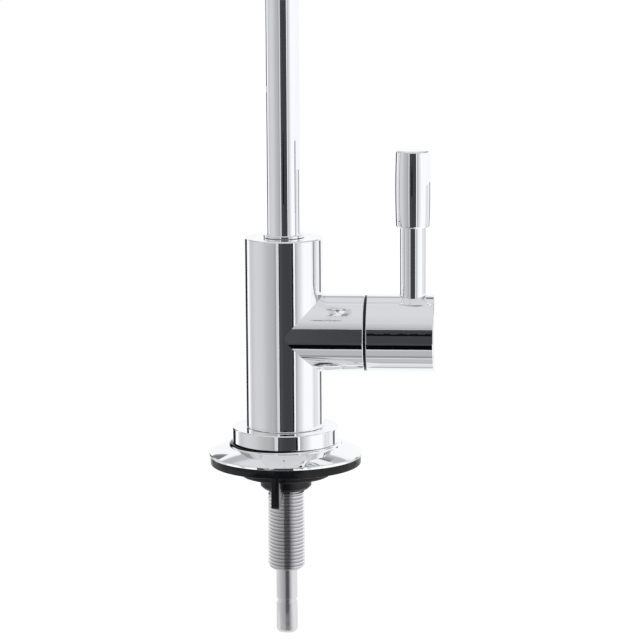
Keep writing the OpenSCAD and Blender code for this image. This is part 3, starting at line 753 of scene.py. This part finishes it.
def makeTubeTree():
    # The route rises, turns through half a circle and drops, all by the distance along it
    tree, given = newGeometryTree("gooseneckSkin", [
        ("Radius", 0.005), ("Foot", 0.06), ("Rise", 0.14), ("Bend Radius", 0.0625), ("Drop", 0.034),
        ("Steps", 420), ("Sides", 96), ("Material", None)])
    bend = given["Bend Radius"]
    bendLength = calc(tree, "MULTIPLY", bend, math.pi)
    whole = calc(tree, "ADD", calc(tree, "ADD", given["Rise"], bendLength), given["Drop"])
    line = addNode(tree, "GeometryNodeCurvePrimitiveLine", [("End", (0.0, 0.0, 1.0))])
    stepped = addNode(tree, "GeometryNodeResampleCurve", [
        ("Curve", line.outputs["Curve"]), ("Count", given["Steps"])])
    share = addNode(tree, "GeometryNodeSplineParameter").outputs["Factor"]
    along = calc(tree, "MULTIPLY", share, whole)
    beyond = calc(tree, "SUBTRACT", along, given["Rise"])
    turned = calc(tree, "MAXIMUM", calc(tree, "DIVIDE", beyond, bend), 0.0)
    angle = calc(tree, "MINIMUM", turned, math.pi)
    dropped = calc(tree, "MAXIMUM", calc(tree, "SUBTRACT", beyond, bendLength), 0.0)
    forward = calc(tree, "MULTIPLY", calc(tree, "SUBTRACT", calc(tree, "COSINE", angle), 1.0), bend)
    risen = calc(tree, "ADD", given["Foot"], calc(tree, "MINIMUM", along, given["Rise"]))
    up = calc(tree, "MULTIPLY_ADD", calc(tree, "SINE", angle), bend, risen)
    spot = addNode(tree, "ShaderNodeCombineXYZ", [("Y", forward), ("Z", calc(tree, "SUBTRACT", up, dropped))])
    route = addNode(tree, "GeometryNodeSetPosition", [
        ("Geometry", stepped.outputs["Curve"]), ("Position", spot.outputs[0])])
    profile = addNode(tree, "GeometryNodeCurvePrimitiveCircle", [
        ("Resolution", given["Sides"]), ("Radius", given["Radius"])])
    swept = addNode(tree, "GeometryNodeCurveToMesh", [
        ("Curve", route.outputs["Geometry"]), ("Profile Curve", profile.outputs["Curve"])])
    return endTree(tree, swept.outputs["Mesh"], given["Material"])


def makeSpout():
    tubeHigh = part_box("spout_tube")[1]
    tubeR = tubeHigh.x
    tipLow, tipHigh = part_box("outlet_tip")
    bendR = -(tipLow.y + tipHigh.y) / 4  # the tip hangs two bend radii in front of the column
    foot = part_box("body_shell")[1].z - spout["footDepth"]
    endHeight = tipHigh.z - spout["tipGrip"]
    bendHeight = tubeHigh.z - bendR - tubeR
    tree = makeTubeTree()
    tube, inner = (growMesh(name, tree, {
        "Radius": radius, "Foot": foot, "Rise": bendHeight - foot, "Bend Radius": bendR,
        "Drop": bendHeight - endHeight, "Steps": spout["steps"], "Sides": spout["sides"],
        "Material": materials["chrome"],
    }) for name, radius in (("spoutTube", tubeR), ("innerSkin", tubeR - spout["wall"])))
    shell = bmesh.new()
    shell.from_mesh(tube.data)
    shell.from_mesh(inner.data)
    loose = [e for e in shell.edges if e.is_boundary]
    for atFoot in (True, False):
        ends = [e for e in loose if (e.verts[0].co.y > -bendR) == atFoot]
        bmesh.ops.bridge_loops(shell, edges=ends)
    bmesh.ops.recalc_face_normals(shell, faces=shell.faces)
    keepShape(shell, tube)
    bpy.data.objects.remove(inner)
    finishPiece(smoothByAngle(tube, spout["smooth"]), "chrome", "spout", "spout_tube")

    ringLow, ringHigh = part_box("spout_ring")
    hole = tubeR + gap
    ring = turnPiece("spoutRing", [
        (hole, ringLow.z, 0), (ringHigh.x, ringLow.z, spout["ringFoot"]),
        (ringHigh.x, ringHigh.z, spout["ringTop"]), (hole, ringHigh.z, 0)])
    finishPiece(trueNormals(ring), "chrome", "spout", "spout_ring")

    tipR = (tipHigh.x - tipLow.x) / 2 - spout["tipLess"]
    insertLow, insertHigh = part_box("outlet_insert")
    insertR = (insertHigh.x - insertLow.x) / 2 + gap
    mouthR = insertR - gap - spout["lip"]
    tip = turnPiece("outletTip", [
        (mouthR, tipLow.z, spout["lip"]), (tipR, tipLow.z, spout["tipFoot"]),
        (tipR, tipHigh.z, spout["tipTop"]), (hole, tipHigh.z, spout["tipMouth"]),
        (hole, endHeight, 0), (insertR, endHeight, 0), (insertR, insertLow.z, 0), (mouthR, insertLow.z, 0)],
        place=Matrix.Translation((0, -2 * bendR, 0)))
    finishPiece(trueNormals(tip), "chrome", "spout", "outlet_tip")


makeSpout()
print("spout made")


# The threaded shank: a rib follows a helix round the core, trimmed by the shank's own outline.
# The rib's crest and foot are shares of the pitch
shank = {
    "pitch": 1.0583 * mm, "depth": 0.6 * mm, "crest": 0.14, "foot": 0.84, "bury": 0.25 * mm,
    "turnSteps": 96, "threadTop": -8.0 * mm, "fadeOut": 0.5 * mm, "chamferR": 4.35 * mm, "chamfer": 1.2 * mm,
    "coreChamfer": 0.55 * mm, "endRound": 0.15 * mm, "neck": 0.3 * mm, "topRound": 0.3 * mm,
    "boreR": 2.6 * mm, "stemHoleR": 3.0 * mm, "stemHoleTop": -20.8 * mm, "smooth": 24,
}


def makeHelixTree():
    tree, given = newGeometryTree("threadRib", [
        ("Radius", 0.005), ("Pitch", 0.001), ("Turns", 20.0), ("Steps", 96), ("Crest", 0.1 * mm),
        ("Foot", 0.9 * mm), ("Thickness", 0.8 * mm), ("Start Height", 0.0), ("Material", None)])
    spiral = addNode(tree, "GeometryNodeCurveSpiral", [
        ("Resolution", given["Steps"]), ("Rotations", given["Turns"]), ("Start Radius", given["Radius"]),
        ("End Radius", given["Radius"]), ("Height", calc(tree, "MULTIPLY", given["Pitch"], given["Turns"]))])
    upright = addNode(tree, "GeometryNodeSetCurveNormal", [("Curve", spiral.outputs["Curve"])], mode="Z_UP")
    place = addNode(tree, "ShaderNodeCombineXYZ", [("Z", given["Start Height"])])
    raised = addNode(tree, "GeometryNodeTransform", [
        ("Geometry", upright.outputs["Curve"]), ("Translation", place.outputs[0])])
    section = addNode(tree, "GeometryNodeCurvePrimitiveQuadrilateral", [
        ("Height", given["Thickness"]), ("Bottom Width", given["Foot"]), ("Top Width", given["Crest"]),
        ("Offset", 0.0)], mode="TRAPEZOID")
    turned = addNode(tree, "GeometryNodeTransform", [
        ("Geometry", section.outputs["Curve"]), ("Rotation", (0.0, 0.0, math.pi / 2))])
    swept = addNode(tree, "GeometryNodeCurveToMesh", [
        ("Curve", raised.outputs["Geometry"]), ("Profile Curve", turned.outputs["Geometry"]),
        ("Fill Caps", True)])
    return endTree(tree, swept.outputs["Mesh"], given["Material"])


def makeShank():
    low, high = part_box("shank")
    crestR, depth, pitch, threadTop = high.x, shank["depth"], shank["pitch"], shank["threadTop"]
    rootR, thick = crestR - depth, depth + shank["bury"]
    rib = growMesh("threadRib", makeHelixTree(), {
        "Radius": crestR - thick / 2, "Pitch": pitch, "Turns": (threadTop - low.z) / pitch + 1,
        "Steps": shank["turnSteps"], "Crest": shank["crest"] * pitch, "Foot": shank["foot"] * pitch,
        "Thickness": thick, "Start Height": low.z - pitch, "Material": materials["nickel"]})
    envelope = turnPiece("threadEnvelope", [
        (0, low.z, 0), (shank["chamferR"], low.z, 0), (crestR, low.z + shank["chamfer"], 0),
        (crestR, threadTop - shank["fadeOut"], 0), (rootR, threadTop, 0), (0, threadTop, 0)], closed=False)
    joinCut(rib, [envelope], "INTERSECT")
    boreR, holeR, holeTop = shank["boreR"], shank["stemHoleR"], shank["stemHoleTop"]
    core = turnPiece("shankThread", [
        (holeR, low.z, 0), (shank["chamferR"], low.z, shank["endRound"]),
        (rootR, low.z + shank["coreChamfer"], 0), (rootR, threadTop, 0),
        (shankR, threadTop + shank["neck"], 0), (shankR, high.z, shank["topRound"]),
        (boreR, high.z, 0), (boreR, holeTop, 0), (holeR, holeTop, 0)])
    joined = bmesh.new()
    joined.from_mesh(core.data)
    joined.from_mesh(rib.data)
    keepShape(joined, core)
    bpy.data.objects.remove(rib)
    finishPiece(smoothByAngle(core, shank["smooth"]), "nickel", "tap_body", "shank")


stem = {
    "boreR": 2.0 * mm, "boreEdge": 0.1 * mm, "noseIn": 0.54 * mm, "nose": 0.9 * mm, "noseEdge": 0.15 * mm,
    "noseRound": 0.2 * mm, "groove": (-42.1 * mm, -40.8 * mm), "grooveDepth": 0.35 * mm,
    "grooveEdge": 0.12 * mm, "shoulder": -31.8 * mm, "tailR": 2.975 * mm, "tailEdge": 0.2 * mm,
}


def makeStem():
    low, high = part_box("inlet_stem")
    r, (g0, g1), edge = high.x, stem["groove"], stem["grooveEdge"]
    boreR, tailR, grooveR = stem["boreR"], stem["tailR"], r - stem["grooveDepth"]
    piece = turnPiece("inletStem", [
        (boreR, low.z, stem["boreEdge"]), (r - stem["noseIn"], low.z, stem["noseEdge"]),
        (r, low.z + stem["nose"], stem["noseRound"]), (r, g0, edge), (grooveR, g0, edge), (grooveR, g1, edge),
        (r, g1, edge), (r, stem["shoulder"], edge), (tailR, stem["shoulder"], 0),
        (tailR, high.z, stem["tailEdge"]), (boreR, high.z, 0)])
    finishPiece(trueNormals(piece), "stemMetal", "tap_body", "inlet_stem")


lockRing = {"lowBevel": 0.9 * mm, "topRound": 0.2 * mm, "holeEdge": 0.1 * mm, "edge": 0.15 * mm}
washer = {"bevel": 0.5 * mm, "edge": 0.2 * mm}


def makeRings():
    low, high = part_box("lock_ring")
    hole, bevel, edge = shankR + gap, lockRing["lowBevel"], lockRing["edge"]
    ring = turnPiece("lockRing", [
        (hole, low.z, lockRing["holeEdge"]), (high.x - bevel, low.z, edge), (high.x, low.z + bevel, edge),
        (high.x, high.z, lockRing["topRound"]), (hole, high.z, 0)])
    finishPiece(trueNormals(ring), "dark_metal", "tap_body", "lock_ring")
    low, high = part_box("locating_washer")
    bevel, edge = washer["bevel"], washer["edge"]
    disc = turnPiece("locatingWasher", [
        (threadHoleR, low.z, 0), (high.x - bevel, low.z, edge), (high.x, low.z + bevel, edge),
        (high.x, high.z, 0), (threadHoleR, high.z, 0)])
    finishPiece(trueNormals(disc), "rubber", "tap_body", "locating_washer")


# The black seat: a turned dish, with a flat tab and gusset let in at the front
seat = {
    "edgeH": 2.6 * mm, "ledge": 0.6 * mm, "ledgeEdge": 0.1 * mm, "plateauR": 15.4 * mm, "recessR": 8.3 * mm,
    "floor": 2.0 * mm, "edge": 0.3 * mm, "tabTurn": -92.7, "tabIn": 0.1 * mm, "tabWide": 2.3 * mm,
    "tabTip": 2.0 * mm, "tabCorner": 0.4 * mm, "tabInner": 13.6 * mm, "tabEdge": 0.25 * mm,
    "tabSteps": 3, "gussetIn": 9.9 * mm, "gussetTop": -3.6 * mm, "gussetH": 2.0 * mm, "segments": 256,
    "smooth": 30,
}


def makeSeat():
    low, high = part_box("flange_seat")
    r, edgeH, recessR = high.x, seat["edgeH"], seat["recessR"]
    dish = turnPiece("flangeSeat", [
        (threadHoleR, 0, 0), (r, 0, seat["edge"]), (r, edgeH, seat["ledgeEdge"]),
        (r - seat["ledge"], edgeH, 0), (seat["plateauR"], high.z, 0), (recessR, high.z, 0),
        (recessR, seat["floor"], 0), (threadHoleR, seat["floor"], 0)], seat["segments"])
    out, wide, gussetIn, gussetTop = r - seat["tabIn"], seat["tabWide"], seat["gussetIn"], seat["gussetTop"]
    corners = [
        (seat["tabInner"], edgeH / 2), (out, edgeH / 2), (out, low.z + seat["tabCorner"]),
        (out - seat["tabCorner"], low.z), (out - seat["tabTip"], low.z),
        (gussetIn, gussetTop - seat["gussetH"]), (gussetIn, gussetTop), (seat["tabInner"], gussetTop),
    ]
    tab = bmesh.new()
    face = tab.faces.new([tab.verts.new((x, -wide / 2, z)) for x, z in corners])
    grown = bmesh.ops.extrude_face_region(tab, geom=[face])
    moved = [v for v in grown["geom"] if isinstance(v, bmesh.types.BMVert)]
    bmesh.ops.translate(tab, verts=moved, vec=(0, wide, 0))
    bmesh.ops.recalc_face_normals(tab, faces=tab.faces)
    bmesh.ops.bevel(tab, geom=list(tab.edges), offset=seat["tabEdge"], segments=seat["tabSteps"],
                    profile=0.5, affect="EDGES", clamp_overlap=True)
    bmesh.ops.rotate(tab, verts=tab.verts, matrix=Matrix.Rotation(math.radians(seat["tabTurn"]), 3, "Z"))
    tab.from_mesh(dish.data)
    keepShape(tab, dish)
    smoothByAngle(dish, seat["smooth"])
    finishPiece(dish, "black_plastic", "tap_body", "flange_seat")


makeShank()
makeStem()
makeRings()
makeSeat()
print("shank, stem and seat made")


# Plain floor, plain surroundings and soft light
studio = {
    "floorDrop": 0.2 * mm, "floorSize": 30.0, "floorTone": (0.9, 0.9, 0.9, 1), "floorRough": 0.9,
    "glow": 1.055, "glowShare": 0.86, "white": (1, 1, 1, 1), "worldLight": 0.7, "lampAim": (0, 0, 0.04),
}


def seenPlainly(tree):
    # 1 where a thing is seen, directly, mirrored or through glass, and 0 where it only gives light
    rays = addNode(tree, "ShaderNodeLightPath").outputs
    seen = calc(tree, "MAXIMUM", rays["Is Camera Ray"], rays["Is Glossy Ray"])
    return calc(tree, "MAXIMUM", seen, rays["Is Transmission Ray"])


def makeFloor():
    height = cadBox[0].z - studio["floorDrop"]
    bpy.ops.mesh.primitive_plane_add(size=studio["floorSize"], location=(0, 0, height))
    floor = bpy.context.object
    floor.name = "floor"
    material, tree, shader = newMaterial(
        "paleFloor", 0.0, Base_Color=studio["floorTone"], Roughness=studio["floorRough"])
    glow = addNode(tree, "ShaderNodeEmission", [("Color", studio["white"]), ("Strength", studio["glow"])])
    share = calc(tree, "MULTIPLY", seenPlainly(tree), studio["glowShare"])
    mixed = addNode(tree, "ShaderNodeMixShader", [
        (0, share), (1, shader.outputs[0]), (2, glow.outputs[0])])
    tree.links.new(mixed.outputs[0], tree.nodes["Material Output"].inputs["Surface"])
    floor.data.materials.append(material)


def makeWorld():
    world = bpy.data.worlds.new("studio")
    scene.world = world
    world.use_nodes = True
    tree = world.node_tree
    back = tree.nodes["Background"]
    back.inputs["Color"].default_value = studio["white"]
    strength = remap(tree, seenPlainly(tree), 0.0, 1.0, studio["worldLight"], 1.0)
    tree.links.new(strength, back.inputs["Strength"])


makeFloor()
makeWorld()

# Cards that only reflections show, as they stand round a tap in a photo studio. A stop is a place along
# the card and the card's brightness there. Here the place is a bearing in degrees, from the camera
# towards the lever
rightStops = [
    (26.5, 1.0), (30.5, 1.05), (31.2, 0.42), (35, 0.52), (38.7, 0.645), (45, 0.77), (51, 0.9), (55, 1.0),
    (58, 1.05), (82, 1.05), (87, 0.96), (91, 0.84), (94, 0.74), (98, 0.86), (103, 0.82), (108, 0.86),
    (113, 1.0), (116, 1.0), (118.5, 0.87), (122, 0.87), (122.5, 0.12), (131, 0.12), (131.5, 1.05),
    (195.5, 1.0),
]
plainFrom = 80  # higher up, the right side is plain from this bearing on, as the tube shows
stemStops = [
    (-180, 0.9), (-145, 0.9), (-110, 0.74), (-80, 0.65), (-57, 0.53), (-46, 0.47), (-30, 0.42), (-16, 0.36),
    (-12, 0.12), (4, 0.1), (14, 0.1), (22, 0.14), (27, 0.3), (33, 0.44), (44, 0.62), (55, 0.8), (70, 0.88),
    (180, 0.9),
]
uprightCards = {
    "wall": {"away": 0.255, "low": 0.0, "high": 0.2, "stops": [
        (-164.5, 1.0), (-133.5, 1.08), (-122, 1.08), (-121, 0.85), (-113, 0.66), (-108, 0.6), (-98, 0.67),
        (-88, 0.69), (-76, 0.68), (-65, 0.645), (-55, 0.57), (-45, 0.51), (-36, 0.485), (-30, 0.455),
        (-26, 0.4), (-23.6, 0.33), (-23.2, 0.5), (-21.5, 0.72), (-15.4, 0.72)]},
    "wallRight": {"away": 0.255, "low": 0.0, "high": 0.11, "stops": rightStops},
    "wallRightTop": {"away": 0.255, "low": 0.11, "high": 0.2, "stops": [
        stop for stop in rightStops if stop[0] < plainFrom] + [rightStops[-1]]},
    "frontCard": {"away": 0.253, "low": 0.0, "high": 0.177, "stops": [
        (-15.3, 0.038), (-12.8, 0.038), (-12.2, 0.085), (-7, 0.07), (-3, 0.06), (12, 0.056), (18, 0.06),
        (21.6, 0.08), (22, 0.014), (26.4, 0.014)]},
    "frontBand": {"away": 0.251, "low": 0.097, "high": 0.124, "ripple": 0.009, "step": 0.12,
                  "stops": [(-3.4, 0.006), (3.7, 0.006)]},
    "edgeLine": {"away": 0.253, "low": 0.0, "high": 0.14, "stops": [(-154.5, 0.03), (-134, 0.03)]},
    "tubeLine": {"away": 0.253, "low": 0.14, "high": 0.19, "stops": [(-145, 0.03), (-134, 0.03)]},
    "wedge": {"away": 0.253, "low": 0.142, "high": 0.199, "stops": [
        (-158.5, 0.9), (-157.5, 0.3), (-156, 0.2), (-150, 0.2), (-146, 0.5)]},
    # Round the stem, below the flange, where rays from the branch don't reach
    "lowRing": {"away": 0.024, "low": 0.0, "high": 0.04, "stops": stemStops},
}
# Flat on the floor, round the stem and behind the tap
floorArcs = {
    "lowDisc": {"near": 0.003, "far": 0.024, "stops": stemStops},
    "rearLeft": {"near": 0.165, "far": 0.254, "stops": [
        (-170, 0.97), (-156, 0.82), (-142, 0.6), (-136, 0.5), (-124, 0.72), (-110, 0.8), (-95, 0.74)]},
    "rearRight": {"near": 0.165, "far": 0.254, "stops": [
        (100, 0.76), (112, 0.8), (124, 0.6), (131, 0.5), (146, 0.76), (162, 0.97)]},
}
# The arches over the tap. Here a stop's place is an angle up from the camera's side: 90 is straight above
arches = {
    "ceiling": {"away": 0.42, "height": 0.0388, "left": -0.35, "right": 0.35, "stops": [
        (17.5, 0.5), (22.8, 0.5), (25.7, 0.56), (31.5, 0.615), (34.4, 0.64), (37.3, 0.69), (46, 0.713),
        (59, 0.738), (65, 0.757), (96, 0.74), (99, 0.78), (102, 0.78), (104, 0.69), (110, 0.67), (113, 0.76),
        (131, 0.76), (133, 0.7), (136, 0.52), (144, 0.5), (147, 1.0), (165, 1.02)]},
    "streak": {"away": 0.415, "height": 0.0388, "left": 0.018, "right": 0.105, "stops": [
        (129.5, 0.4), (130.5, 0.17), (134.5, 0.2), (140, 0.4), (143, 0.55)]},
}
# Two upright sheets close the ends of the arches. Here the place is a distance behind the tap, in metres
sideCards = {"away": 0.38, "low": 0.08, "high": 0.56, "stops": [
    (-0.42, 0.32), (-0.24, 0.34), (-0.22, 0.62), (-0.1, 0.72), (0.02, 0.55), (0.04, 0.36), (0.42, 0.34)]}
# Sheets on the floor, in one strip. Here the place is a distance in front of the tap, in millimetres
floorCard = {"left": -0.15, "right": 0.07, "stops": [
    (262, 0.07), (200, 0.07), (192, 0.08), (190, 0.003), (116, 0.003), (115, 0.69), (104, 0.68), (101, 0.5),
    (59, 0.51), (57.5, 0.33), (45, 0.33), (44, 0.74), (37.5, 0.72), (37, 0.54), (18, 0.56), (16.5, 0.49),
    (11.5, 0.49), (10, 0.71), (4.5, 0.76), (3.5, 0.89), (-2.5, 0.88), (-3.5, 0.775), (-18, 0.76),
    (-19, 0.5), (-29, 0.5), (-30, 0.98), (-60, 1.02), (-110, 1.04)]}
# Weak cards are a little bluer than bright ones. Two waves together make the ripple in a card's top edge
cardLook = {
    "lift": 0.2 * mm, "step": 4, "waves": (9, 4.1), "weak": (0.86, 0.88, 1.0), "bright": (0.985, 0.985, 1.0),
    "gain": 5.0,
}


def makeCardMaterial():
    material = bpy.data.materials.new("cardGlow")
    material.use_nodes = True
    tree = material.node_tree
    tree.nodes.remove(tree.nodes["Principled BSDF"])
    tone = addNode(tree, "ShaderNodeAttribute", attribute_name="glow").outputs["Fac"]
    share = calc(tree, "MULTIPLY", tone, cardLook["gain"])
    tint = mixColours(tree, share, cardLook["weak"], cardLook["bright"])
    light = addNode(tree, "ShaderNodeEmission", [("Color", tint), ("Strength", tone)])
    tree.links.new(light.outputs[0], tree.nodes["Material Output"].inputs["Surface"])
    return material


cardMaterial = makeCardMaterial()


def makeCard(name, rows):
    # A row is two points and a brightness, which blends into the next row's
    verts = [point for row in rows for point in row[:2]]
    faces = [(2 * i, 2 * i + 2, 2 * i + 3, 2 * i + 1) for i in range(len(rows) - 1)]
    mesh = bpy.data.meshes.new(name)
    mesh.from_pydata(verts, [], faces)
    glow = mesh.attributes.new("glow", "FLOAT", "POINT")
    glow.data.foreach_set("value", [row[2] for row in rows for _ in (0, 1)])
    card = bpy.data.objects.new(name, mesh)
    scene.collection.objects.link(card)
    mesh.materials.append(cardMaterial)
    for flag in ("camera", "diffuse", "shadow", "transmission", "volume_scatter"):
        setattr(card, "visible_" + flag, False)


def fineStops(card):
    # Long spans get steps between, so that a curved card stays round
    stops, step = card["stops"], card.get("step", cardLook["step"])
    made = []
    for (a, toneA), (b, toneB) in zip(stops, stops[1:]):
        count = max(1, math.ceil(abs(b - a) / step))
        made += [(a + (b - a) * i / count, toneA + (toneB - toneA) * i / count) for i in range(count)]
    return made + [stops[-1]]


def aroundTap(bearing, away):
    angle = math.radians(bearing + camera["azimuth"])
    return away * math.sin(angle), -away * math.cos(angle)


def uprightRows(card, floorZ):
    rows = []
    quick, slow = cardLook["waves"]
    for bearing, tone in fineStops(card):
        x, y = aroundTap(bearing, card["away"])
        wave = card.get("ripple", 0) * math.sin(quick * bearing) * math.sin(slow * bearing + 1)
        rows.append(((x, y, floorZ + card["low"]), (x, y, floorZ + card["high"] + wave), tone))
    return rows


def archRows(card):
    rows = []
    for degrees, tone in fineStops(card):
        angle = math.radians(degrees)
        y, z = -card["away"] * math.cos(angle), card["height"] + card["away"] * math.sin(angle)
        rows.append(((card["left"], y, z), (card["right"], y, z), tone))
    return rows


def makeCards():
    floorZ = cadBox[0].z + cardLook["lift"]
    for name, card in uprightCards.items():
        makeCard(name, uprightRows(card, floorZ))
    for name, card in floorArcs.items():
        near, far = card["near"], card["far"]
        makeCard(name, [((*aroundTap(bearing, near), floorZ), (*aroundTap(bearing, far), floorZ), tone)
                        for bearing, tone in fineStops(card)])
    for name, card in arches.items():
        makeCard(name, archRows(card))
    low, high = floorZ + sideCards["low"], floorZ + sideCards["high"]
    for name, x in (("sideLeft", -sideCards["away"]), ("sideRight", sideCards["away"])):
        makeCard(name, [((x, y, low), (x, y, high), tone) for y, tone in sideCards["stops"]])
    left, right = floorCard["left"], floorCard["right"]
    makeCard("floorCard", [((left, -ahead * mm, floorZ), (right, -ahead * mm, floorZ), tone)
                           for ahead, tone in floorCard["stops"]])


makeCards()

lamps = {
    "key": {"place": (0.5, -0.7, 0.9), "size": 0.7, "power": 6.0},
    "fill": {"place": (-0.7, -0.5, 0.5), "size": 0.8, "power": 4.0},
    "top": {"place": (0.0, 0.1, 1.1), "size": 0.8, "power": 4.0},
}


def makeLamps():
    for name, lamp in lamps.items():
        data = bpy.data.lights.new(name, "AREA")
        data.shape, data.size, data.energy = "DISK", lamp["size"], lamp["power"]
        standing = bpy.data.objects.new(name, data)
        standing.location = lamp["place"]
        standing.rotation_mode = "QUATERNION"
        ahead = Vector(studio["lampAim"]) - Vector(lamp["place"])
        standing.rotation_quaternion = ahead.to_track_quat("-Z", "Y")
        standing.visible_glossy = False
        scene.collection.objects.link(standing)


makeLamps()
scene.view_settings.view_transform = "Standard"
print("studio made")

# CAD nodes that stay get their finishes
for row in frame["record"]["subparts"]:
    node = frame["nodes"][row["node"]]
    if node.hide_render:
        continue
    node.data.materials.clear()
    node.data.materials.append(materials[row["material_slot"]])
